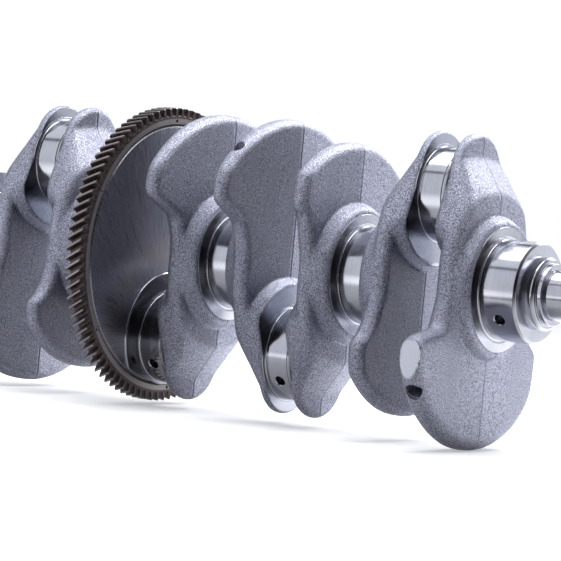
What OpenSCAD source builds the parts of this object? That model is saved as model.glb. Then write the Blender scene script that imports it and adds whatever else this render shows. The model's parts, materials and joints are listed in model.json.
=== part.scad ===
// Forged four-throw crankshaft with a pressed-on helical drive gear.
// The shaft axis is X, with the nose at +X. +Z points at crank pins 1 and 4.
// The origin is on the axis, at the middle of main journal 3.

/* [Throws] */
// Distance between neighbouring cylinders, which is the spacing of the pins and of the main journals
bore_pitch = 88; // [80:1:110]
// Distance from the shaft axis to a crank pin's axis
crank_radius = 47.75; // [46:0.25:50]

/* [Journals] */
// Diameter of the main journals
main_d = 54; // [50:0.5:56]
// Width of main journals 2 to 5 between their shoulders
main_w = 18.5; // [17:0.5:22]
// Width of main journal 1, which runs on to the nose
front_main_w = 22; // [20:0.5:24]
// Diameter of the crank pins
pin_d = 52; // [48:0.5:54]
// Width of the crank pins between their shoulders
pin_w = 16.5; // [15:0.5:20]
// Diameter of the oil holes in the journals and pins
oil_d = 6; // [5:0.5:8]
// Diameter of the oil ways through the webs, smaller than the oil holes
oil_way_d = 5; // [3:0.5:5]

/* [Webs] */
// How far the web's flat lies behind the main journal's shoulder
main_recess = 7.5; // [6:0.5:9]
// How far the web's flat lies behind the crank pin's shoulder
pin_recess = 5.5; // [4:0.5:7]
// Half width of the web beside the main journal
waist_w = 39; // [37:0.5:42]
// Radius of the web's rounded tip, beyond the crank pin
tip_r = 24; // [22:0.5:26]
// Height of the web's tip over the shaft axis
tip_z = 82; // [80:0.5:84]
// Thickness that the relief leaves at the web's tip
tip_t = 6.5; // [5:0.5:8]

/* [Counterweights] */
// Radius of the large counterweights on webs 1, 4, 5 and 8
big_r = 85; // [80:0.5:86]
// Half width across the ears of a large counterweight
big_ear = 68; // [62:0.5:72]
// Radius of the small counterweights on webs 2, 3 and 7
small_r = 73; // [70:0.5:78]
// Half width across the ears of a small counterweight
small_ear = 55; // [50:0.5:60]
// How far the ears' upper edge lies past the shaft axis
ear_z = 30; // [28:0.5:34]
// Diameter of the balance drillings
balance_d = 9; // [8:0.5:12]
// Depth of the balance drillings
balance_l = 22; // [10:1:28]

/* [Drive gear] */
// Number of teeth
teeth = 93; // [80:1:100]
// Radius over the tooth tips
tooth_tip_r = 85; // [83:0.5:88]
// Depth of the teeth
tooth_depth = 4.5; // [3:0.25:5]
// Width of the gear along the shaft
gear_w = 10.2; // [8:0.2:14]
// Radius of the gear's bore, pressed on web 6
gear_bore_r = 75; // [72:0.5:77]
// Helix angle of the teeth
helix = 30; // [15:1:35]

/* [Ends] */
// Radius of the nose where the pulley sits
nose_r = 13.5; // [12:0.5:15]
// Length of the nose shaft in front of its collars
nose_l = 49; // [30:1:60]
// Radius of the nose bolt's tapping drill
nose_bolt_r = 6; // [5:0.5:6.5]
// Depth of the nose bolt's hole
nose_bolt_l = 36; // [25:1:42]
// Radius of the rear flange
flange_r = 39; // [37:0.5:42]
// Thickness of the rear flange
flange_t = 14; // [12:0.5:18]
// Bolt circle diameter of the flange
flange_pcd = 60; // [56:1:62]
// Number of flange bolts
flange_bolts = 6; // [4:1:8]
// Radius of a flange bolt's tapping drill
flange_bolt_r = 4.25; // [4:0.25:5]
// Radius of the pilot bore in the flange
pilot_r = 11; // [10:0.5:14]
// Depth of the pilot bore
pilot_l = 12; // [8:1:13]

/* [Hidden] */
$fn = 96;

steel = [0.55, 0.56, 0.60];
ground = [0.82, 0.82, 0.84];
oxide = [0.27, 0.23, 0.20];

// Places along the shaft
main_x = [for (i = [0:4]) (2 - i) * bore_pitch];
pin_x = [for (i = [0:3]) (1.5 - i) * bore_pitch];
web_gap = bore_pitch / 2 - (main_w + pin_w) / 2;
flat_t = web_gap - main_recess - pin_recess;
main_r = main_d / 2;
pin_r = pin_d / 2;
front_x = main_x[0] - main_w / 2 + front_main_w;
rear_x = main_x[4] - main_w / 2;

// Turn of the oil holes from +Z, towards -Y
main_hole_angle = 125;
pin_hole_angle = 125;

// Thrust faces and bosses round the journals
thrust_step = 0.5;
main_thrust_r = main_r + 7;
main_boss_r = main_r + 10;
pin_boss_r = pin_r + 12;
boss_edge = 2;

// Relief on the main journal's side of the tip: radii between which its cone falls away
relief_low_r = 50;
relief_high_r = 70;
relief_from_z = 25;

// Nose
collar_r = 19.4;
collar_l = 6.5;
step_r = 16.5;
step_l = 3;
groove_l = 1.2;
groove_depth = 1.2;
chamfer = 1.2;
nose_base_x = front_x + collar_l + step_l + groove_l;
nose_end_x = nose_base_x + nose_l;

// Gear disc on web 6
disc_x = pin_x[2] - pin_w / 2 - 1.5;
disc_back_x = disc_x - gear_w - 2;
collar_cut_r = gear_bore_r - 0.5;
dimples = 6;
dimple_r = 1.2;
dimple_l = 1;
dimple_circle_r = gear_bore_r + 2.4;

// Flange
dowel_r = 4;
dowel_l = 12;
dowel_stand = 6;
dowel_circle_r = flange_pcd / 2;
dowel_angle = 180 / flange_bolts;
bolt_l = 13;

// Carries a profile drawn in (y, z) along +X
module along_x(length) {
    rotate([90, 0, 90]) linear_extrude(length) children();
}

module round_x(radius, length) {
    rotate([0, 90, 0]) cylinder(r = radius, h = length);
}

// A cone frustum along +X
module cone_x(radius_a, radius_b, length) {
    rotate([0, 90, 0]) cylinder(r1 = radius_a, r2 = radius_b, h = length);
}

function arc(cy, cz, radius, from, to, steps) =
    [for (i = [0:steps]) let (a = from + (to - from) * i / steps)
        [cy + radius * cos(a), cz + radius * sin(a)]];

// Half of a web's outline, from the tip down to the counterweight's lowest point
function half_outline(cw_r, ear_w) =
    let (corner_r = 7,
         ear_low = sqrt(cw_r * cw_r - ear_w * ear_w),
         rim_a = atan2(-ear_low - 4, ear_w))
    concat(
        arc(0, tip_z - tip_r, tip_r, 90, 20, 7),
        [[31, 46], [waist_w - 2, 29], [waist_w, 12], [waist_w, -6], [waist_w + 5, -ear_z + 8]],
        arc(ear_w - corner_r, -ear_z - corner_r, corner_r, 80, 0, 4),
        arc(0, 0, cw_r, rim_a, -90, 12));

module outline(cw_r, ear_w) {
    half = half_outline(cw_r, ear_w);
    last = len(half) - 1;
    polygon(concat(half, [for (i = [last - 1:-1:1]) [-half[i][0], half[i][1]]]));
}

// Main journal's boss: a cone with a flat thrust face on top, from x = 0
module main_boss() {
    round_x(main_thrust_r, thrust_step + 0.01);
    translate([thrust_step, 0, 0]) cone_x(main_thrust_r, main_boss_r, boss_edge);
    translate([thrust_step + boss_edge, 0, 0])
        round_x(main_boss_r, main_recess - thrust_step - boss_edge + 1);
}

// Crank pin's boss, cut to the web's outline, up to x = web_gap
module pin_boss(cw_r, ear_w) {
    low_x = web_gap - pin_recess - 1;
    intersection() {
        translate([low_x, 0, 0]) along_x(pin_recess + 1) outline(cw_r, ear_w);
        translate([low_x, 0, crank_radius]) round_x(pin_boss_r, pin_recess + 1);
    }
}

// The drilling that carries oil from the middle of a main journal to the middle of a crank pin
module oil_way() {
    run = bore_pitch / 2;
    translate([-main_w / 2, 0, 0])
        rotate([0, atan2(run, crank_radius), 0])
            cylinder(d = oil_way_d, h = sqrt(run * run + crank_radius * crank_radius));
}

// The hole that brings oil from a journal's surface to just past its middle
module oil_hole(radius) {
    past = oil_d;
    translate([0, 0, -past]) cylinder(d = oil_d, h = radius + past + 1);
}

// Everything outside the relief's cone, on the main journal's side of the tip
module relief() {
    top_x = web_gap - tip_t;
    outer_r = tip_z + 5;
    intersection() {
        rotate([0, 90, 0]) rotate_extrude()
            polygon([[relief_low_r, -1], [relief_low_r, main_recess], [relief_high_r, top_x],
                     [outer_r, top_x], [outer_r, -1]]);
        translate([-2, -waist_w - 5, relief_from_z]) cube([web_gap + 4, 2 * waist_w + 10, tip_z]);
    }
}

// A web from its main journal's shoulder at x = 0 to its crank pin's shoulder at x = web_gap
module plain_web(cw_r, ear_w, drilled = false) {
    difference() {
        union() {
            translate([main_recess, 0, 0]) along_x(flat_t) outline(cw_r, ear_w);
            main_boss();
            pin_boss(cw_r, ear_w);
        }
        relief();
        if (drilled) oil_way();
    }
}

// A blind balance drilling from the rim of a counterweight towards the shaft
module balance_hole(cw_r, angle, depth) {
    mid_x = main_recess + flat_t / 2;
    translate([mid_x, 0, 0]) rotate([angle, 0, 0])
        translate([0, 0, -cw_r - 5]) cylinder(d = balance_d, h = depth + 5);
}

// Puts a web at its main journal: side 1 is towards +X, -1 towards -X; up 1 has the pin at +Z
module at_main(index, side, up) {
    translate([main_x[index] + side * main_w / 2, 0, 0])
        mirror([side < 0 ? 1 : 0, 0, 0])
            rotate([up > 0 ? 0 : 180, 0, 0])
                children();
}

module web(index, side, up, cw_r, ear_w, drilled = false) {
    color(steel) at_main(index, side, up) plain_web(cw_r, ear_w, drilled);
}

module web_1() {
    color(steel) at_main(0, -1, 1) difference() {
        plain_web(big_r, big_ear, true);
        balance_hole(big_r, -46, balance_l);
    }
}

module web_2() { web(1, 1, 1, small_r, small_ear); }
module web_3() { web(1, -1, -1, small_r, small_ear, true); }

module web_4() {
    color(steel) at_main(2, 1, -1) difference() {
        plain_web(big_r, big_ear);
        balance_hole(big_r, 38, balance_l);
    }
}

module web_5() { web(2, -1, -1, big_r, big_ear); }
module web_7() { web(3, -1, 1, small_r, small_ear); }
module web_8() { web(4, 1, 1, big_r, big_ear, true); }

// Web 6 is a round disc that carries the drive gear, with a boss for each of its journals
module web_6_gear_disc() {
    main_face_x = main_x[3] + main_w / 2;
    pin_face_x = pin_x[2] - pin_w / 2;
    color(ground) difference() {
        union() {
            translate([disc_back_x, 0, 0]) round_x(gear_bore_r, disc_x - disc_back_x);
            translate([main_face_x, 0, 0]) round_x(main_boss_r, disc_back_x - main_face_x + 1);
            intersection() {
                translate([disc_x - 1, 0, -crank_radius]) round_x(pin_boss_r, pin_face_x - disc_x + 1);
                translate([disc_x - 1, 0, 0]) round_x(collar_cut_r, pin_face_x - disc_x + 1);
            }
        }
        at_main(3, 1, -1) oil_way();
    }
}

// A main journal with its oil hole, and the start of the way to the crank pin that it feeds
module journal(index, length, way = []) {
    color(ground) difference() {
        translate([main_x[index] - main_w / 2, 0, 0]) round_x(main_r, length);
        translate([main_x[index], 0, 0])
            rotate([index == 0 ? main_hole_angle : main_hole_angle - 180, 0, 0]) oil_hole(main_r);
        if (len(way) > 0) at_main(index, way[0], way[1]) oil_way();
    }
}

module main_journal_1() {
    journal(0, front_main_w - chamfer, [-1, 1]);
    color(ground) translate([front_x - chamfer, 0, 0]) cone_x(main_r, main_r - chamfer, chamfer);
}

module main_journal_2() { journal(1, main_w, [-1, -1]); }
module main_journal_3() { journal(2, main_w); }
module main_journal_4() { journal(3, main_w, [1, -1]); }
module main_journal_5() { journal(4, main_w, [1, 1]); }

// A crank pin with its oil hole, fed along the web from the main journal of that index and side
module pin(index, up, from_main, side) {
    color(ground) difference() {
        translate([pin_x[index] - pin_w / 2, 0, up * crank_radius]) round_x(pin_r, pin_w);
        translate([pin_x[index], 0, up * crank_radius])
            rotate([up > 0 ? pin_hole_angle - 180 : pin_hole_angle, 0, 0])
                oil_hole(pin_r);
        at_main(from_main, side, up) oil_way();
    }
}

module crank_pin_1() { pin(0, 1, 0, -1); }
module crank_pin_2() { pin(1, -1, 1, -1); }
module crank_pin_3() { pin(2, -1, 3, 1); }
module crank_pin_4() { pin(3, 1, 4, 1); }

// Outline of the gear: four points a tooth, with flanks that lean to the tip
module gear_outline() {
    pitch = 360 / teeth;
    root_r = tooth_tip_r - tooth_depth;
    polygon([for (i = [0:teeth - 1], k = [0:3])
        let (r = (k == 1 || k == 2) ? tooth_tip_r : root_r, a = (i + [0.02, 0.24, 0.50, 0.72][k]) * pitch)
        [r * cos(a), r * sin(a)]]);
}

module balance_drive_gear() {
    turn = gear_w * tan(helix) / tooth_tip_r * 180 / PI;
    color(oxide) difference() {
        translate([disc_x - gear_w, 0, 0]) rotate([90, 0, 90])
            linear_extrude(gear_w, twist = turn, slices = 2) gear_outline();
        translate([disc_x - gear_w - 1, 0, 0]) round_x(gear_bore_r, gear_w + 2);
        for (i = [0:dimples - 1])
            rotate([i * 360 / dimples, 0, 0])
                translate([disc_x - dimple_l, 0, dimple_circle_r]) round_x(dimple_r, dimple_l + 1);
    }
}

// Collar, step, groove and shaft in one turned profile, with the nose bolt's hole
module nose_shaft() {
    groove_r = nose_r - groove_depth;
    color(ground) difference() {
        translate([front_x, 0, 0]) rotate([0, 90, 0]) rotate_extrude() polygon([
            [0, 0], [collar_r, 0], [collar_r, collar_l - 1], [collar_r - 1, collar_l], [step_r, collar_l],
            [step_r, collar_l + step_l], [groove_r, collar_l + step_l],
            [groove_r, collar_l + step_l + groove_l], [nose_r, collar_l + step_l + groove_l],
            [nose_r, nose_end_x - front_x - chamfer], [nose_r - chamfer, nose_end_x - front_x],
            [0, nose_end_x - front_x]]);
        translate([nose_end_x - nose_bolt_l, 0, 0]) round_x(nose_bolt_r, nose_bolt_l + 1);
    }
}

module flange_holes() {
    back_x = rear_x - flange_t;
    for (i = [0:flange_bolts - 1])
        rotate([i * 360 / flange_bolts, 0, 0])
            translate([back_x - 1, 0, flange_pcd / 2]) round_x(flange_bolt_r, bolt_l + 1);
    translate([back_x - 1, 0, 0]) round_x(pilot_r, pilot_l + 1);
    rotate([dowel_angle, 0, 0])
        translate([back_x - 1, 0, dowel_circle_r]) round_x(dowel_r, dowel_l - dowel_stand + 1);
}

module rear_flange() {
    back_x = rear_x - flange_t;
    color(ground) difference() {
        union() {
            translate([back_x + chamfer, 0, 0]) round_x(flange_r, flange_t - chamfer);
            translate([back_x, 0, 0]) cone_x(flange_r - chamfer, flange_r, chamfer);
        }
        flange_holes();
    }
}

module flange_dowel() {
    color(steel) rotate([dowel_angle, 0, 0])
        translate([rear_x - flange_t - dowel_stand, 0, dowel_circle_r]) round_x(dowel_r, dowel_l);
}

nose_shaft();
main_journal_1();
main_journal_2();
main_journal_3();
main_journal_4();
main_journal_5();
crank_pin_1();
crank_pin_2();
crank_pin_3();
crank_pin_4();
web_1();
web_2();
web_3();
web_4();
web_5();
web_6_gear_disc();
web_7();
web_8();
balance_drive_gear();
rear_flange();
flange_dowel();
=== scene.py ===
import json
import math
import bpy
import numpy as np
from mathutils import Matrix, Vector


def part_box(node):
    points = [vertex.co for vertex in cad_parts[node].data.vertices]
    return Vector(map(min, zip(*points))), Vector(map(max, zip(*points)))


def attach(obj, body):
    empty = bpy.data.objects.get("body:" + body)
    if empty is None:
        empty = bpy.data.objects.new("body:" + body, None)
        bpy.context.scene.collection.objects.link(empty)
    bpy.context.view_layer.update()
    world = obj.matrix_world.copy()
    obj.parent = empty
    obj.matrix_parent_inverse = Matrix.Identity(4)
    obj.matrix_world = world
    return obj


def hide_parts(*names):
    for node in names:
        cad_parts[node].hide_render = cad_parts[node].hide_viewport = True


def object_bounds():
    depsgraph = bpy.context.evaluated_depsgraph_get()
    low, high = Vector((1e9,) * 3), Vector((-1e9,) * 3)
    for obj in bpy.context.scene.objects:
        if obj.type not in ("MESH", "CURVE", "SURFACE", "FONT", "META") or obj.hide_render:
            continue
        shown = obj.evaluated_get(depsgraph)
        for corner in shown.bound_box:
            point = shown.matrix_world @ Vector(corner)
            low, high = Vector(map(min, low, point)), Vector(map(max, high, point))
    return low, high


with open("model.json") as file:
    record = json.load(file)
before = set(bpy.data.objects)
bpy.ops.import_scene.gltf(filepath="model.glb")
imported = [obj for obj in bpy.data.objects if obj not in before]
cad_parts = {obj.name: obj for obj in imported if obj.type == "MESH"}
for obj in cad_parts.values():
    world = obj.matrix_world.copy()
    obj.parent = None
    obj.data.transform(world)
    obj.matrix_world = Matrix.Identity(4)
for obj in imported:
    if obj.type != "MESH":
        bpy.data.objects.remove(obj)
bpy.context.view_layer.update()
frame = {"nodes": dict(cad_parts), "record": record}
mm = 0.001
mounts = {m["name"]: m for m in frame["record"]["mounts"]}


def boxX(node):  # a CAD node's low and high x, in millimetres
    low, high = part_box(node)
    return low[0] / mm, high[0] / mm


def radiusOf(name):  # a mount's radius in millimetres
    return mounts[name]["dims"]["r_mm"]


def heightOf(name):  # a mount's height over the shaft axis in millimetres
    return mounts[name]["pos_m"][2] / mm


throw = heightOf("crank_pin_1")  # how far the pins stand off the shaft axis
mainRadius = radiusOf("main_journal_2")
pinRadius = radiusOf("crank_pin_1")
webWidth = boxX("web_1")[1] - boxX("web_1")[0]
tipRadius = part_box("balance_drive_gear")[1][2] / mm  # over the tips of the gear's teeth
gearLow, gearHigh = boxX("balance_drive_gear")
boreRadius = 75.0  # the gear ring's seat on the disc
print("frame loaded: throw", round(throw, 2), "web", round(webWidth, 2))


# shader maths
class Wire:
    # wraps one output socket; arithmetic on wires and numbers adds Math nodes
    def __init__(self, tree, socket):
        self.tree = tree
        self.socket = socket

    def make(self, kind, settings=None, inputs=None, out=0):  # any node: its settings first, then its sockets
        node = self.tree.nodes.new("ShaderNode" + kind)
        for key, value in (settings or {}).items():
            setattr(node, key, value)
        for key, value in (inputs or {}).items():
            if isinstance(value, Wire):
                self.tree.links.new(value.socket, node.inputs[key])
            else:
                node.inputs[key].default_value = value
        return Wire(self.tree, node.outputs[out])

    def maths(self, operation, first, second=0.0):
        return self.make("Math", {"operation": operation}, {0: first, 1: second})

    def __add__(self, other):
        return self.maths("ADD", self, other)

    def __radd__(self, other):
        return self.maths("ADD", other, self)

    def __sub__(self, other):
        return self.maths("SUBTRACT", self, other)

    def __rsub__(self, other):
        return self.maths("SUBTRACT", other, self)

    def __mul__(self, other):
        return self.maths("MULTIPLY", self, other)

    def __rmul__(self, other):
        return self.maths("MULTIPLY", other, self)

    def __truediv__(self, other):
        return self.maths("DIVIDE", self, other)

    def __rtruediv__(self, other):
        return self.maths("DIVIDE", other, self)

    def size(self):
        return self.maths("ABSOLUTE", self)

    def root(self):
        return self.maths("SQRT", self)

    def larger(self, other):
        return self.maths("MAXIMUM", self, other)

    def fade(self, low, high, toLow=0.0, toHigh=1.0):
        # a smooth step from toLow to toHigh as the value goes from low to high
        return self.make("MapRange", {"interpolation_type": "SMOOTHSTEP"},
                         {"Value": self, "From Min": low, "From Max": high,
                          "To Min": toLow, "To Max": toHigh})

    def blend(self, first, second):  # colours first to second by this value
        return self.make("Mix", {"data_type": "RGBA"}, {"Factor": self, 6: first, 7: second}, out=2)

    def noise(self, scale, detail=2.0, roughness=0.5, stretch=(1, 1, 1)):
        where = self.make("Mapping", {}, {"Vector": self, "Scale": stretch})
        return self.make("TexNoise", {},
                         {"Vector": where, "Scale": scale, "Detail": detail, "Roughness": roughness})

    def stored(self, name):  # a number that the mesh carries at its vertices
        return self.make("Attribute", {"attribute_name": name}, out=2)

    def axes(self):  # the wires of x, y and z
        parts = self.make("SeparateXYZ", {}, {0: self}).socket.node
        return [Wire(self.tree, part) for part in parts.outputs]

    def vector(self, *values):
        return self.make("CombineXYZ", {}, dict(enumerate(values)))

    def relief(self, height, strength, distance):
        return self.make("Bump", {}, {"Strength": strength, "Distance": distance, "Height": height})


def newMaterial(name, **values):
    # an empty principled material; returns it with its shader node and a wire of object coordinates
    material = bpy.data.materials.new(name)
    material.use_nodes = True
    tree = material.node_tree
    shader = tree.nodes["Principled BSDF"]
    for key, value in values.items():
        shader.inputs[key.replace("_", " ")].default_value = value
    return material, shader, Wire(tree, tree.nodes.new("ShaderNodeTexCoord").outputs["Object"])


def feed(shader, **wires):
    for key, wire in wires.items():
        wire.tree.links.new(wire.socket, shader.inputs[key.replace("_", " ")])


# surfaces
def gridMesh(name, points, material, firstPole=False, lastPole=False, inward=False, values=None, sharp=None):
    # vertex (row, col) joins (row, col + 1) and (row + 1, col); each row of points, in millimetres, is a
    # closed ring, and a pole row shrinks to one vertex
    rows, cols = points.shape[:2]
    index = np.arange(rows * cols).reshape(rows, cols)
    if firstPole:
        index[0] = index[0, 0]
    if lastPole:
        index[-1] = index[-1, 0]
    used, flat = np.unique(index, return_inverse=True)
    index = flat.reshape(rows, cols)
    after = np.roll(index, -1, axis=1)
    quads = np.stack([index[:-1], after[:-1], after[1:], index[1:]], axis=-1)
    order = slice(None, None, -1 if inward else 1)
    faces = quads[int(firstPole):rows - 1 - int(lastPole)].reshape(-1, 4)[:, order].tolist()
    if firstPole:
        faces += quads[0][:, [0, 2, 3]][:, order].tolist()
    if lastPole:
        faces += quads[-1][:, [0, 1, 2]][:, order].tolist()
    mesh = bpy.data.meshes.new(name)
    mesh.from_pydata((points.reshape(-1, 3)[used] * mm).tolist(), [], faces)
    mesh.polygons.foreach_set("use_smooth", np.ones(len(mesh.polygons), bool))
    for key, grid in (values or {}).items():
        layer = mesh.attributes.new(key, "FLOAT", "POINT")
        layer.data.foreach_set("value", grid.reshape(-1)[used].astype(np.float32))
    if sharp is not None:
        mesh.set_sharp_from_angle(angle=math.radians(sharp))
    mesh.materials.append(material)
    piece = bpy.data.objects.new(name, mesh)
    bpy.context.scene.collection.objects.link(piece)
    return piece


def softMin(a, b, k):  # the smaller of a and b, rounded over where they differ by less than k
    h = np.clip(0.5 + 0.5 * (b - a) / k, 0, 1)
    return b + (a - b) * h - k * h * (1 - h)


def softMax(a, b, k):  # the larger of a and b, rounded over in the same way
    return -softMin(-a, -b, k)


def sideOn(upright, top=0.93):  # 1 beside a round part, 0 near its bottom and above the given height: where painted shade goes
    return np.clip((upright + 0.72) / 0.2, 0, 1) * np.clip((top - upright) / 0.2, 0, 1)


def radial(angle):  # unit direction across the shaft, measured from +Z towards -Y
    a = math.radians(angle)
    return np.array([0.0, -math.sin(a), math.cos(a)])


cornerForm = {
    "bevel": 0.3,  # a corner's own third number comes before this
    "steps": 5,
    "hold": 1.15,  # where the holding points stand, in bevels from the corner
    "share": 0.45,  # the most of a side that one bevel may take
}


def softCorners(profile):
    # each corner (x, r, bevel) becomes before * (1 - t)^2 + after * t^2, held close by a point on either side
    out = [np.array(profile[0][:2], float)]
    for previous, corner, following in zip(profile, profile[1:], profile[2:]):
        here = np.array(corner[:2], float)
        size = corner[2] if len(corner) > 2 else cornerForm["bevel"]
        if size == 0:
            out.append(here)
            continue
        before = np.array(previous[:2], float) - here
        after = np.array(following[:2], float) - here
        size = min(size, cornerForm["share"] * np.hypot(*before), cornerForm["share"] * np.hypot(*after))
        before = before / np.hypot(*before) * size
        after = after / np.hypot(*after) * size
        out.append(here + before * cornerForm["hold"])
        for t in np.linspace(0, 1, cornerForm["steps"]):
            out.append(here + before * (1 - t) ** 2 + after * t ** 2)
        out.append(here + after * cornerForm["hold"])
    out.append(np.array(profile[-1][:2], float))
    return np.array(out)


def turned(name, profile, material, height=0.0, steps=240, shadeFrom=1000.0):
    # (x, -r sin t, height + r cos t): a profile of (x, r) carried round an axis along X at the given height;
    # "flat" is 1 on faces square to the shaft, and "shade", for painted shade, marks those wider than
    # shadeFrom
    profile = softCorners(profile)
    turn = np.linspace(0, 2 * math.pi, steps, endpoint=False)
    x = np.repeat(profile[:, :1], steps, axis=1)
    points = np.stack([x, -profile[:, 1:] * np.sin(turn), height + profile[:, 1:] * np.cos(turn)], axis=-1)
    flow = np.gradient(profile, axis=0)
    flat = np.abs(flow[:, 1]) / np.maximum(np.hypot(*flow.T), 1e-9)
    shade = (flat * (profile[:, 1] > shadeFrom))[:, None] * sideOn(np.cos(turn))
    poles = profile[0, 1] < 1e-6, profile[-1, 1] < 1e-6
    return gridMesh(name, points, material, *poles,
                    values={"flat": np.repeat(flat[:, None], steps, axis=1), "shade": shade})


drillForm = {"steps": 48, "point": 0.8, "clear": 8.0, "sharp": 38}


def drill(piece, place, along, radius, depth, rim=0.6):
    # place + along * s + ring * r: a round tool with a countersink and a point, which cuts inwards from
    # the place, against along
    along = Vector(along).normalized()
    side = along.orthogonal().normalized()
    turn = np.linspace(0, 2 * math.pi, drillForm["steps"], endpoint=False)[:, None]
    ring = np.cos(turn) * np.array(side) + np.sin(turn) * np.array(along.cross(side))
    steps = np.array([(-depth - drillForm["point"], 0), (-depth, radius), (-rim, radius), (0, radius + rim),
                      (drillForm["clear"], radius + rim), (drillForm["clear"], 0)])
    points = np.array(place) + steps[:, :1, None] * np.array(along) + steps[:, 1:, None] * ring
    tool = gridMesh(piece.name + "Tool", points, piece.data.materials[0], True, True)
    cut = piece.modifiers.new("drill", "BOOLEAN")
    cut.operation = "DIFFERENCE"
    cut.solver = "EXACT"
    cut.object = tool
    done = bpy.data.meshes.new_from_object(piece.evaluated_get(bpy.context.evaluated_depsgraph_get()))
    piece.modifiers.clear()
    piece.data = done
    done.set_sharp_from_angle(angle=math.radians(drillForm["sharp"]))
    bpy.data.objects.remove(tool)


def settle(piece, node):
    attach(piece, "root")
    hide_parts(node)


# finishes
blasted = {
    "grain": 1500,
    "coarse": 420,
    "broad": 26,
    "spark": 2100,
    "dark": (0.105, 0.112, 0.155, 1),
    "light": (0.68, 0.70, 0.855, 1),
    "bump": 0.00055,
    "leftDull": 0.58,  # how much painted shade darkens the left half of a flat
    "seamHalf": (0.4, 0.95),  # the parting line fades out between these distances, in millimetres
    "cutLight": (0.53, 0.55, 0.62, 1),
    # painted shade on the sides of the cut flats round the pin
    "cutDark": (0.03, 0.03, 0.035, 1),
    "cutGloss": 0.27,
}


def blastedSteel():
    # shot-blasted forging: three sizes of grain shift colour, gloss and height; painted shade darkens the
    # left half of each flat and the sides of the cut flats round the pin, the seam is a dark line at y = 0,
    # and "machined" marks the cut flats
    material, shader, where = newMaterial("blastedSteel", Metallic=1.0)
    y = where.axes()[1] * 1000
    fine = where.noise(blasted["grain"], 3, 0.66)
    coarse = where.noise(blasted["coarse"], 2, 0.5)
    broad = where.noise(blasted["broad"], 2, 0.5)
    spark = where.noise(blasted["spark"], 1, 0.5).fade(0.58, 0.68)
    cutFlat = where.stored("machined").fade(0.0, 0.08)
    shade = where.stored("shade")
    tone = fine.fade(0.36, 0.66) * 0.86 + coarse.fade(0.3, 0.7) * 0.07 + broad.fade(0.3, 0.7) * 0.07
    skin = tone.blend(blasted["dark"], blasted["light"])
    skin = (spark * 0.6).blend(skin, (0.95, 0.95, 1.0, 1))
    # painted shade: the left half of each flat, where "shade" is 1, goes towards near-black
    paintedShade = shade * y.fade(-2.5, 0.0, blasted["leftDull"], 0)
    skin = paintedShade.blend(skin, (0.03, 0.03, 0.045, 1))
    # the seam's dark line is drawn stronger on the flats that take painted shade
    seam = y.size().fade(*blasted["seamHalf"], 1, 0) * (shade * 0.55 + 0.4)
    skin = seam.blend(skin, (0.05, 0.05, 0.07, 1))
    # the cut flats go from their own light colour to painted shade where "shade" marks them
    cut = (shade * 0.86).blend(blasted["cutLight"], blasted["cutDark"])
    height = (fine + coarse * 0.5 + spark * 0.3) * (1 - cutFlat)
    feed(shader, Base_Color=cutFlat.blend(skin, cut),
         Roughness=(0.37 - spark * 0.15 + coarse * 0.06) * (1 - cutFlat) + cutFlat * blasted["cutGloss"],
         Normal=where.relief(height, 0.9, blasted["bump"]))
    return material


ground = {
    "rings": 2600,
    "dark": (0.50, 0.51, 0.56, 1),
    "light": (0.63, 0.64, 0.695, 1),
    "shadow": (0.05, 0.045, 0.045, 1),
    "gloss": (0.11, 0.17),
    "bump": 0.000004,
}


def groundSteel():
    # ground journal: even bright metal with hair-fine rings round the axis, satin on the faces square to it,
    # and a painted shade band where "shade" marks its thrust faces
    material, shader, where = newMaterial("groundSteel", Metallic=1.0)
    rings = where.noise(ground["rings"], 2, 0.6, (1, 0.01, 0.01))
    broad = where.noise(60, 2, 0.5)
    flat = where.stored("flat")
    tone = (broad * 0.6 + rings * 0.4).fade(0.3, 0.7).blend(ground["dark"], ground["light"])
    # painted shade: where "shade" is 1 the tone goes most of the way to the dark shadow colour
    feed(shader, Base_Color=(where.stored("shade") * 0.8).blend(tone, ground["shadow"]),
         Roughness=rings.fade(0.3, 0.7, *ground["gloss"]) + flat * 0.09,
         Normal=where.relief(rings * (1 - flat), 0.25, ground["bump"]))
    return material


faced = {
    "rings": 3.2,
    "streaks": 185.0,
    "dark": (0.25, 0.25, 0.285, 1),
    "light": (0.36, 0.36, 0.40, 1),
    "heat": (0.50, 0.42, 0.33, 1),
    "heatFrom": (0.042, 0.048),  # the brown ring's radii round the pin, in metres
    "heatTo": (0.052, 0.062),
    "bump": 0.00002,
}


def turnedSteel(centre):
    # turned disc face: rings by radius and streaks by angle, both about the crank pin's axis; the streaks are
    # turning marks with a painted reflection in them
    material, shader, where = newMaterial("turnedSteel", Metallic=1.0)
    x, y, z = where.axes()
    z = z - centre * mm
    radius = (y * y + z * z).root()
    rings = where.make("TexNoise", {},
                       {"Vector": where.vector(radius * 1000), "Scale": faced["rings"], "Detail": 2.0})
    around = where.vector(y / radius, z / radius, radius * 0.35)
    streaks = where.make("TexNoise", {}, {"Vector": around, "Scale": faced["streaks"], "Detail": 4.0,
                                          "Roughness": 0.75})
    # the streaks' colour is partly a painted reflection
    tone = streaks.fade(0.28, 0.72) * 0.7 + rings.fade(0.3, 0.7) * 0.3
    warm = radius.fade(*faced["heatFrom"]) * radius.fade(*faced["heatTo"], 1, 0) * streaks * 0.5
    feed(shader, Base_Color=warm.blend(tone.blend(faced["dark"], faced["light"]), faced["heat"]),
         Roughness=streaks.fade(0.3, 0.7, 0.24, 0.36), Normal=where.relief(rings, 0.5, faced["bump"]))
    return material


oxide = {
    "mottle": 900,
    "dark": (0.045, 0.034, 0.034, 1),
    "light": (0.15, 0.118, 0.115, 1),
    "face": (0.36, 0.335, 0.33, 1),
    "tips": (0.40, 0.355, 0.35, 1),
    "faceEnds": (6.6, 5.8),  # how far inside the tips the rubbed face fades out
    "bump": 0.00005,
}


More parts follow.
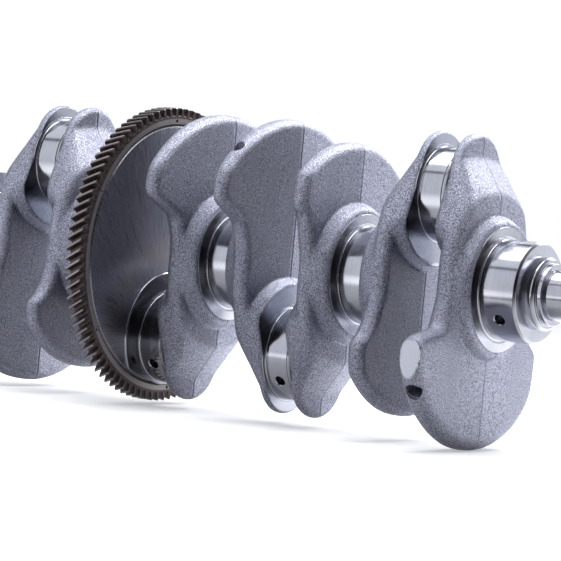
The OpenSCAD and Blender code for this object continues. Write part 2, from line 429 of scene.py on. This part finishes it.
def oxideSteel():
    # brown-black oxide, rubbed lighter on the tooth tips and on the ring's face
    material, shader, where = newMaterial("oxideSteel", Metallic=0.85)
    x, y, z = where.axes()
    radius = (y * y + z * z).root() * 1000
    mottle = where.noise(oxide["mottle"], 3, 0.6)
    tips = radius.fade(tipRadius - 0.9, tipRadius - 0.3)
    base = mottle.fade(0.3, 0.7).blend(oxide["dark"], oxide["light"])
    outer, inner = oxide["faceEnds"]
    face = radius.fade(tipRadius - outer, tipRadius - inner, 1, 0) * 0.75
    base = face.blend(base, oxide["face"])
    feed(shader, Base_Color=(tips * 0.75).blend(base, oxide["tips"]),
         Roughness=mottle.fade(0.3, 0.7, 0.36, 0.52) - tips * 0.08,
         Normal=where.relief(mottle, 0.5, oxide["bump"]))
    return material


blastedMat = blastedSteel()
groundMat = groundSteel()
turnedMat = turnedSteel(heightOf("crank_pin_3"))
oxideMat = oxideSteel()
print("finishes made")

# webs, each drawn with its pin upwards
outline = {
    "tipHigh": 58,
    "tipRadius": 24,
    "shoulder": [[31, 46], [37, 29]],
    "waist": [[39, 12], [39, -6], [44, -22]],
    "earHigh": -30,
    "corner": 7.0,
    "passes": 10,  # smoothing passes over the closed outline
}
webForm = {
    "mainRecess": 7.0,  # the flat behind the main journal's shoulder, at the seam
    "pinRecess": 5.5,
    "draft": 0.036,
    "rim": 5.2,
    "tipThick": 6.5,
    "reliefLow": 50.0,  # radii about the shaft axis between which the tip's relief slopes
    "reliefHigh": 70.0,
    "reliefSoft": 1.2,
    "faceStep": 0.5,  # how far the forged boss stays behind the main journal's thrust face
    "cone": 0.025,  # the ground faces fall away this much a millimetre outwards
    "mainBoss": 33.6,
    "mainRound": 3.8,
    "pinBoss": 35.5,
    "pinRound": 5.0,
    "pinStand": 0.9,  # how far the forged boss would pass the pin's ground face
    "bossSoft": 2.4,
    "bossFlank": 2.4,
    "planeSoft": 0.25,
    "pad": 0,  # half width at which the ears are milled flat, 0 for none
    "mainDull": 1.0,  # how much of the painted shade the main side's flats take
    "centre": (0.0, -38.0),  # where the spokes of the grid meet
    "cols": 400,
    "faceRows": 84,
    "rimRows": 8,
}


def arcPoints(cy, cz, radius, start, end, steps):  # (cy + r cos a, cz + r sin a), a in degrees
    a = np.radians(np.linspace(start, end, steps))
    return np.stack([cy + radius * np.cos(a), cz + radius * np.sin(a)], axis=-1)


def halfOutline(weightRadius, ear, flank=0.0):
    # right half of the outline from the tip down: tip arc, shoulder, waist, ear corner, counterweight arc
    corner, earHigh = outline["corner"], outline["earHigh"]
    low = math.sqrt(weightRadius ** 2 - ear ** 2)
    return np.concatenate([
        arcPoints(0, outline["tipHigh"], outline["tipRadius"], 90, 20, 12),
        np.array(outline["shoulder"]),
        np.array(outline["waist"]) + [flank, 0],
        arcPoints(ear - corner, earHigh - corner, corner, 80, 0, 8),
        arcPoints(0, 0, weightRadius, -math.degrees(math.atan2(low + 4, ear)), -90, 24)])


def closedOutline(right, left, cols):
    # joins two halves, spaces the points evenly and rounds them: (before + 2 * here + after) / 4, repeated
    loop = np.concatenate([right, (left * [-1, 1])[-2:0:-1]])
    loop = np.concatenate([loop, loop[:1]])
    length = np.concatenate([[0], np.cumsum(np.hypot(*np.diff(loop, axis=0).T))])
    even = np.linspace(0, length[-1], cols, endpoint=False)
    ring = np.stack([np.interp(even, length, loop[:, i]) for i in range(2)], axis=-1)
    for i in range(outline["passes"]):
        ring = (np.roll(ring, 1, axis=0) + 2 * ring + np.roll(ring, -1, axis=0)) / 4
    return ring


def roundedDrop(over, radius, flank):
    # r - sqrt(r^2 - over^2) near the edge, then a straight flank: how far a boss's shoulder has fallen
    over = np.maximum(over, 0)
    part = np.minimum(over, radius * 0.92)
    return radius - np.sqrt(radius ** 2 - part ** 2) + np.maximum(over - radius * 0.92, 0) * flank


def mainSide(y, z, form):
    # depth of the main journal's side: recess + draft * |y|, a cone of relief at the tip, and a round boss
    r = np.hypot(y, z)
    deep = webWidth - form["tipThick"] - form["mainRecess"] + 0.2
    slope = (r * (z > 0) - form["reliefLow"]) / (form["reliefHigh"] - form["reliefLow"]) * deep
    relief = softMin(softMax(slope, slope * 0, form["reliefSoft"]), slope * 0 + deep, form["reliefSoft"])
    flat = form["mainRecess"] + form["draft"] * np.abs(y) + relief
    boss = form["faceStep"] + roundedDrop(r - form["mainBoss"], form["mainRound"], form["bossFlank"])
    return softMin(flat, boss, form["bossSoft"])


def pinSide(y, z, form):
    # depth of the pin's side before the ground face cuts it: width - recess - draft * |y|, and a round boss
    flat = webWidth - form["pinRecess"] - form["draft"] * np.abs(y)
    over = np.hypot(y, z - throw) - form["pinBoss"]
    boss = webWidth + form["pinStand"] - roundedDrop(over, form["pinRound"], form["bossFlank"])
    return softMax(flat, boss, form["bossSoft"])


def web(name, node, pinUp, right, left, **changes):
    # face: centre + (ring - centre) * s with depth(y, z); rim: edge + inwards * size * (1 - sin t) with the
    # depth lowered by size * (1 - cos t); front and back halves share one star-shaped grid
    form = {**webForm, **changes}
    cols, faceRows, rimRows = form["cols"], form["faceRows"], form["rimRows"]
    half = faceRows + rimRows
    edge = closedOutline(right, left, cols)
    step = np.roll(edge, -1, axis=0) - np.roll(edge, 1, axis=0)
    step /= np.hypot(*step.T)[:, None]
    inwards = np.stack([step[:, 1], -step[:, 0]], axis=-1)
    centre = np.array(form["centre"])
    if ((centre - edge) * inwards).sum() < 0:
        inwards = -inwards
    size = np.minimum(form["rim"], 0.47 * (pinSide(*edge.T, form) - mainSide(*edge.T, form)))[:, None]
    ring = edge + inwards * size
    s = np.linspace(0, 1, faceRows)[:, None, None]
    face = centre + (ring - centre) * s
    turn = np.linspace(0, math.pi / 2, rimRows + 1)[1:, None, None]
    rim = edge + inwards * size * (1 - np.sin(turn))
    drop = np.concatenate([np.zeros((faceRows, cols)), (size * (1 - np.cos(turn)))[..., 0]])
    front = np.concatenate([face, rim])
    back = front[::-1]
    yz = np.concatenate([front, back])
    frontHalf = mainSide(*np.moveaxis(front, -1, 0), form) + drop
    backHalf = pinSide(*np.moveaxis(back, -1, 0), form) - drop[::-1]

    # the ground face round the pin cuts the back half
    fromPin = back - [0, throw]
    pinFar = np.hypot(fromPin[..., 0], fromPin[..., 1])
    plane = webWidth - 0.05 - form["cone"] * np.maximum(pinFar - pinRadius, 0)
    cutFlat = np.concatenate([np.full_like(frontHalf, -0.5), np.clip(backHalf - plane, -0.5, 0.5)])
    depth = np.concatenate([frontHalf, softMin(backHalf, plane, form["planeSoft"])])

    # 1 on the flats beside the seam, and round the pin's ground face except its lowest and highest part:
    # these take painted shade
    spoke = np.hypot(np.gradient(yz[..., 0])[0], np.gradient(yz[..., 1])[0])
    steep = np.hypot(*np.gradient(depth)) / np.maximum(spoke, 0.05)
    shade = np.clip(1.2 - steep * 1.6, 0, 1)
    upright = fromPin[..., 1] * pinUp / np.maximum(pinFar, 1)
    shadeBack = np.where(cutFlat[half:] > 0, sideOn(upright, 0.95 if pinUp > 0 else 0.72), shade[half:])
    shade = np.concatenate([shade[:half] * form["mainDull"], shadeBack])

    y, z = yz[..., 0].copy(), yz[..., 1] * pinUp
    if form["pad"]:  # one ear is milled flat at y = -pad
        onPad = (y < 1 - form["pad"]) & (np.abs(z * pinUp + 37) < 16)
        cutFlat = np.where(onPad, np.clip(-form["pad"] - y, -0.5, 0.5), cutFlat)
        y = np.where(onPad, np.maximum(y, -form["pad"]), y)
    low, high = boxX(node)
    x = high - depth if form["mainIsHigh"] else low + depth
    piece = gridMesh(name, np.stack([x, y, z], axis=-1), blastedMat, True, True,
                     inward=(form["mainIsHigh"] != (pinUp > 0)), values={"machined": cutFlat, "shade": shade})
    settle(piece, node)
    print(name, len(piece.data.polygons), "faces")
    return piece


# the front web's two ears differ: each half is the common top, an ear corner (y, z, radius, start, end,
# steps) and the points below it
frontForm = {
    "top": 17,  # how many points of the common outline stay
    "rightEar": (52, -37, 7, 80, -15, 8),
    "rightBelow": [[58.5, -50], [57, -58], [53, -65], [47, -71.3], [40, -76.8], [32, -81], [22, -84.6],
                   [12, -86.7], [0, -87.4]],
    "leftEar": (60.4, -36.5, 10.6, 80, -35, 14),
    "leftBelow": [[68, -46], [64, -54], [58, -61.5], [51, -68.5], [43, -74.5], [34, -79.7], [23, -84.2],
                  [12, -86.6], [0, -87.4]],
}
frontTop = halfOutline(87, 68)[:frontForm["top"]]
frontRight, frontLeft = [
    np.concatenate([frontTop, arcPoints(*frontForm[side + "Ear"]), frontForm[side + "Below"]])
    for side in ("right", "left")]
# the front web's main side takes only a fifth of the painted shade
frontWeb = web("frontWeb", "web_1", 1, frontRight, frontLeft, mainIsHigh=True, pad=66.3, rim=6.6,
               draft=0.012, mainRecess=6.3, mainDull=0.2)

# name, node, pin up or down, (counterweight radius, ear, flank), settings that differ
webs = {}
for name, node, pinUp, sizes, changes in (
        ("secondWeb", "web_2", 1, (74, 55), {"mainIsHigh": False}),
        ("thirdWeb", "web_3", -1, (72, 52), {"mainIsHigh": True, "mainDull": 0.55}),
        ("fourthWeb", "web_4", -1, (82.5, 68, 3), {"mainIsHigh": False}),
        ("fifthWeb", "web_5", -1, (82.5, 68), {"mainIsHigh": True, "mainDull": 0.8}),
        ("seventhWeb", "web_7", 1, (71.5, 55), {"mainIsHigh": True}),
        ("eighthWeb", "web_8", 1, (83.5, 68), {"mainIsHigh": False})):
    webs[name] = web(name, node, pinUp, halfOutline(*sizes), halfOutline(*sizes), **changes)

balance = {"radius": 4.4, "depth": 16.0, "rim": 0.3}
for piece, x, angle, rimRadius in ((frontWeb, 154.4, 132, 82.5), (webs["fourthWeb"], 22.0, 39, 82.0)):
    along = radial(angle)
    drill(piece, along * rimRadius + [x, 0, 0], along, balance["radius"], balance["depth"], balance["rim"])

# journals and pins
journalForm = {
    "fillet": 1.1,
    "dip": 0.45,
    "thrust": 33.5,
    "pinThrust": 1.6,  # how far the ring round a pin stands out
    "oilHole": 2.9,
    "oilDepth": 9,
    "nearHole": 125,  # turn of an oil hole from +Z towards -Y, on the near side and on the far side
    "farHole": -55,
    "chamfer": 1.2,
}


def thrustEnd(end, outwards, radius, thrust):
    # one end of a bearing surface from its thrust face inwards: edge, face, undercut and fillet
    fillet, dip = journalForm["fillet"], journalForm["dip"]
    return [(end + outwards * 1.5, thrust, 0), (end + outwards * 0.2, thrust, 0.25),
            (end, radius + 1.4, 0.5), (end + outwards * 0.25, radius + 0.5, 0.3),
            (end - outwards * 0.35, radius - dip, 0.4),
            (end - outwards * (fillet + 0.8), radius - dip, 0.3),
            (end - outwards * (fillet + 1.1), radius, 0.1)]


def journal(name, node, radius, thrust, slantHole, height=0.0, front=False):
    # the profile of a bearing surface between two thrust faces, or one and a plain chamfered front
    low, high = boxX(node)
    profile = thrustEnd(low, -1, radius, thrust)
    middle = (low + high) / 2
    if front:
        chamfer = journalForm["chamfer"]
        profile += [(high - chamfer, radius, 0.2), (high, radius - chamfer, 0.2)]
        middle += 0.5
    else:
        profile += thrustEnd(high, 1, radius, thrust)[::-1]
    profile = [(profile[0][0], 0)] + profile + [(profile[-1][0], 0)]
    piece = turned(name, profile, groundMat, height, shadeFrom=radius + 0.3)
    along = radial(slantHole)
    drill(piece, along * radius + [middle, 0, height], along, journalForm["oilHole"], journalForm["oilDepth"])
    settle(piece, node)


for index in range(2, 6):
    journal("mainJournal%d" % index, "main_journal_%d" % index, mainRadius, journalForm["thrust"],
            journalForm["farHole"])
for index in range(1, 5):
    height = heightOf("crank_pin_%d" % index)
    hole = journalForm["nearHole" if height < 0 else "farHole"]
    journal("crankPin%d" % index, "crank_pin_%d" % index, pinRadius, pinRadius + journalForm["pinThrust"],
            hole, height)
journal("mainJournal1", "main_journal_1", mainRadius, journalForm["thrust"], journalForm["nearHole"],
        front=True)
print("journals made")

# nose: collar, step, groove and seat, with the bolt hole in its end
noseForm = {
    "collar": 19.4,
    "collarLength": 6.5,
    "step": 16.5,
    "stepLength": 3.0,
    "groove": 12.6,
    "grooveLength": 1.2,
    "chamfer": 1.2,
    "boltDepth": 36,
    "boltPoint": 39,
}
low, high = boxX("nose_shaft")
seat = radiusOf("nose_pulley_seat")
bolt = radiusOf("nose_bolt_hole")
collar, step, groove, chamfer = [noseForm[key] for key in ("collar", "step", "groove", "chamfer")]
collarEnd = low + noseForm["collarLength"]
stepEnd = collarEnd + noseForm["stepLength"]
grooveEnd = stepEnd + noseForm["grooveLength"]
nosePiece = turned("noseShaft", [
    (low, 0), (low, collar, 0), (collarEnd - chamfer, collar), (collarEnd, collar - chamfer),
    (collarEnd, step), (stepEnd, step, 0.4), (stepEnd, groove), (grooveEnd, groove), (grooveEnd, seat),
    (high - chamfer, seat, 0.2), (high, seat - chamfer, 0.2), (high, bolt + 1, 0.1), (high - 1, bolt, 0.1),
    (high - noseForm["boltDepth"], bolt, 0.2), (high - noseForm["boltPoint"], 0)], groundMat)
settle(nosePiece, "nose_shaft")

# gear disc
discForm = {
    "hub": 34,
    "neck": 38,
    "back": 2.0,  # how far the disc's back stands behind the gear
    "edgeGap": 0.1,
    "chamfer": 0.9,
    "steps": 360,
    "collar": 37.5,
    "collarSteps": 300,
}
low = boxX("web_6_gear_disc")[0]
discBack = gearLow - discForm["back"]
discEdge = boreRadius - discForm["edgeGap"]
disc = turned("gearDisc", [
    (low, 0), (low, discForm["hub"]), (low + 4, discForm["neck"] - 0.5, 2), (discBack, discForm["neck"], 3),
    (discBack, boreRadius - 2, 0.5), (gearLow - 0.5, discEdge), (gearHigh - 1.2, discEdge, 0.15),
    (gearHigh, boreRadius - discForm["chamfer"], 0.25), (gearHigh, 0)], turnedMat, steps=discForm["steps"])
settle(disc, "web_6_gear_disc")


def pinCollar(top):
    # the round pad under crank pin 3: r = smaller of the collar's radius and the way to the disc's edge,
    # throw cos t + sqrt(edge^2 - throw^2 sin^2 t), carried down from its top face, dark with painted shade,
    # to the disc
    steps = discForm["collarSteps"]
    turn = np.linspace(0, 2 * math.pi, steps, endpoint=False)
    dy, dz = -np.sin(turn), np.cos(turn)
    edge = throw * dz + np.sqrt((throw * dz) ** 2 + (boreRadius - 1.0) ** 2 - throw ** 2)
    edge = softMin(edge, edge * 0 + discForm["collar"], 0.6)
    inside = softMin(edge - 1.2, edge * 0 + pinRadius - 1, 0.2)
    x = np.array([0, 0, -0.15, -0.2, -0.6, -0.75, gearHigh - 0.4 - top, gearHigh - 0.4 - top])[:, None] + top
    r = np.stack([edge * 0, inside, edge - 0.8, edge - 0.6, edge - 0.1, edge, edge + 0.1, edge * 0])
    points = np.stack([x + r * 0, r * dy, r * dz - throw], axis=-1)
    # its top rows take painted shade
    dark = np.zeros_like(r)
    dark[:4] = 1.0
    piece = gridMesh("pinCollar", points, groundMat, True, True, inward=True,
                     values={"flat": dark, "shade": dark}, sharp=40)
    settle(piece, "web_6_gear_disc")


pinCollar(boxX("crank_pin_3")[0] - 0.05)

# drive gear
gearForm = {
    "teeth": 93,
    "depth": 4.5,
    "helix": 30.0,
    "chamfer": 0.6,
    "flankRows": 7,
    # one tooth and its gap: the share of the pitch, and how far the tooth has risen there
    "shares": [0.0, 0.06, 0.13, 0.17, 0.21, 0.25, 0.33, 0.41, 0.45, 0.49, 0.53, 0.60, 0.74, 0.87],
    "rises": [0.0, 0.08, 0.35, 0.70, 0.94, 1.0, 1.0, 1.0, 0.94, 0.70, 0.35, 0.08, 0.0, 0.0],
    "dimples": 6,
    "dimpleFrom": 5,
    "dimpleOut": 2.4,
    "dimpleRadius": 0.95,
    "sharp": 25,
}


def gearRing():
    # r = root + depth * rise(angle), with the angle turned by (x - front) * tan(helix) / tip radius; plain
    # rings of constant r close the front and back faces down to the bore
    teeth, depth, bevel = gearForm["teeth"], gearForm["depth"], gearForm["chamfer"]
    angle = ((np.arange(teeth)[:, None] + gearForm["shares"]) * 2 * math.pi / teeth).reshape(-1)
    rise = np.tile(gearForm["rises"], teeth)
    root = tipRadius - depth
    even = np.ones_like(angle)
    ends = root - bevel + depth * rise  # the tooth's outline where its ends are chamfered
    flank = np.linspace(gearLow + bevel * 0.7, gearHigh - bevel * 0.7, gearForm["flankRows"])
    rows = [(gearLow, even * boreRadius), (gearLow, even * (boreRadius + 0.5)),
            (gearLow, even * (root - bevel)), (gearLow, ends)]
    rows += [(x, root + depth * rise) for x in flank]
    rows += [(gearHigh, ends), (gearHigh, even * (root - bevel)), (gearHigh, even * (boreRadius + 3.9)),
             (gearHigh, even * (boreRadius + 0.9)), (gearHigh - 1.2, even * boreRadius),
             (gearLow, even * boreRadius)]
    x = np.array([row[0] for row in rows])[:, None]
    r = np.array([row[1] for row in rows])
    a = angle - (x - gearHigh) * math.tan(math.radians(gearForm["helix"])) / tipRadius
    piece = gridMesh("driveGear", np.stack([x + a * 0, -r * np.sin(a), r * np.cos(a)], axis=-1), oxideMat,
                     sharp=gearForm["sharp"])
    for turn in range(gearForm["dimpleFrom"], 360, 360 // gearForm["dimples"]):
        place = radial(turn) * (boreRadius + gearForm["dimpleOut"]) + [gearHigh, 0, 0]
        drill(piece, place, (1, 0, 0), gearForm["dimpleRadius"], 1.0, 0.15)
    piece.data.set_sharp_from_angle(angle=math.radians(gearForm["sharp"]))
    settle(piece, "balance_drive_gear")


gearRing()
print("gear made")

for node in ("rear_flange", "flange_dowel"):  # these stay the CAD's own
    mesh = frame["nodes"][node].data
    mesh.materials.clear()
    mesh.materials.append(groundMat)

# floor, light and camera
studio = {
    "floorReach": 4.0,
    "floorGlow": 0.36,
    "strip": 0.6,  # how dark mirror rays see the strip of floor in front of the shaft, a painted shade
    "sector": -52,  # compass angle of the floor's painted-shade sector that mirror rays see, on the camera's side
    "wall": 0.14,  # brightness of the dark right side
    "left": (236, 0.70),  # compass angle of a wall and the brightness it adds
    "back": (100, 0.30, 0.62),  # the same, at its foot, and what its upper part adds
    "east": (54, 0.55),
    "corner": (-50, 0.92),  # compass angle of the corner behind the camera, and how black it is
    "ceilingFrom": (0.67, 0.70),
    "eye": 1.1,  # brightness of the backdrop where the camera itself sees it
    "tint": (0.91, 0.93, 1.0, 1),
}


def facing(x, y, degrees):  # how squarely a direction looks towards this compass angle from +X
    a = math.radians(degrees)
    return x * math.cos(a) + y * math.sin(a)


def floorMaterial():
    # white to the eye, but mirror rays see painted shade: a darker strip in front of the shaft and a dark
    # sector on the camera's side
    material, shader, where = newMaterial("floorWhite", Roughness=0.9)
    shader.inputs["Specular IOR Level"].default_value = 0.1
    shader.inputs["Emission Strength"].default_value = studio["floorGlow"]
    x, y, z = where.axes()
    mirrored = where.make("LightPath", out="Is Glossy Ray")
    strip = y.fade(-0.30, -0.17) * y.fade(-0.01, 0.06, 1, 0) * studio["strip"]
    away = (x * x + y * y).root()
    sector = (facing(x, y, studio["sector"]) / away).fade(0.72, 0.88) * away.fade(0.15, 0.3)
    # painted shade on the floor, seen only in reflections
    dark = mirrored * strip.larger(sector)
    feed(shader, Base_Color=dark.blend((0.95, 0.95, 0.96, 1), (0.06, 0.06, 0.07, 1)),
         Emission_Color=dark.blend((1, 1, 1, 1), (0, 0, 0, 1)))
    return material


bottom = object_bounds()[0][2]
reach = studio["floorReach"]
floorMesh = bpy.data.meshes.new("floor")
floorMesh.from_pydata([(-reach, -reach, bottom), (reach, -reach, bottom), (reach, reach, bottom),
                       (-reach, reach, bottom)], [], [(0, 1, 2, 3)])
floorMesh.materials.append(floorMaterial())
floor = bpy.data.objects.new("floor", floorMesh)
bpy.context.scene.collection.objects.link(floor)


def studioWorld():
    # white to the eye; in reflections a bright ceiling over a dark seam, pale walls at the left, the back and
    # the east, a dark right side and a black corner behind the camera
    world = bpy.data.worlds.new("studio")
    world.use_nodes = True
    bpy.context.scene.world = world
    tree = world.node_tree
    backdrop = tree.nodes["Background"]
    way = Wire(tree, tree.nodes.new("ShaderNodeTexCoord").outputs["Generated"])
    x, y, z = way.axes()
    low, high = studio["ceilingFrom"]
    leftTurn, leftAdds = studio["left"]
    backTurn, footAdds, upperAdds = studio["back"]
    eastTurn, eastAdds = studio["east"]
    cornerTurn, black = studio["corner"]
    ceiling = z.fade(low, high) * x.fade(0.0, 0.3, 1, 0.1)
    seam = (z - low).size().fade(0.015, 0.04, 1, 0)
    left = facing(x, y, leftTurn).fade(0.2, 0.8) * leftAdds
    back = facing(x, y, backTurn).fade(0.66, 0.78) * (z.fade(0.12, 0.32) * upperAdds + footAdds)
    east = facing(x, y, eastTurn).fade(0.62, 0.95) * eastAdds
    corner = facing(x, y, cornerTurn).fade(0.55, 0.85) * black
    wall = (left + back + east + studio["wall"]) * (1 - corner)
    light = (wall * (1 - ceiling) + ceiling) * (1 - seam * 0.85)
    seen = way.make("LightPath", out="Is Camera Ray")
    light = light * (1 - seen) + seen * studio["eye"]
    tree.links.new(light.socket, backdrop.inputs["Strength"])
    backdrop.inputs["Color"].default_value = studio["tint"]


studioWorld()


lamps = {  # place and size in metres, and power in watts
    "overhead": ((0.0, 0.1, 1.2), (1.4, 0.9), 12),
    "behind": ((0.11, 1.0, 0.81), (0.45, 0.4), 8),
}


def softLight(name, place, size, power):  # an area light that looks at the middle of the shaft
    lamp = bpy.data.lights.new(name, "AREA")
    lamp.shape = "RECTANGLE"
    lamp.size, lamp.size_y = size
    lamp.energy = power
    thing = bpy.data.objects.new(name, lamp)
    thing.location = place
    thing.rotation_euler = (-Vector(place)).to_track_quat("-Z", "Y").to_euler()
    thing.visible_camera = False
    bpy.context.scene.collection.objects.link(thing)


for name, (place, size, power) in lamps.items():
    softLight(name, place, size, power)

cameraForm = {
    "place": (0.82569, -1.17634, 0.02665),
    "look": (-0.563137, 0.826007, -0.024277),
    "up": (-0.090219, -0.032253, 0.9954),
    "lens": 162.56,
}
camera = bpy.data.cameras.new("camera")
camera.lens = cameraForm["lens"]
camera.sensor_width = 36
camera.clip_end = 100
eye = bpy.data.objects.new("camera", camera)
look = Vector(cameraForm["look"]).normalized()
side = look.cross(Vector(cameraForm["up"])).normalized()
axes = Matrix((side, side.cross(look), -look)).transposed().to_4x4()
eye.matrix_world = Matrix.Translation(cameraForm["place"]) @ axes
bpy.context.scene.collection.objects.link(eye)
bpy.context.scene.camera = eye
bpy.context.scene.view_settings.view_transform = "Standard"
print("stage set")
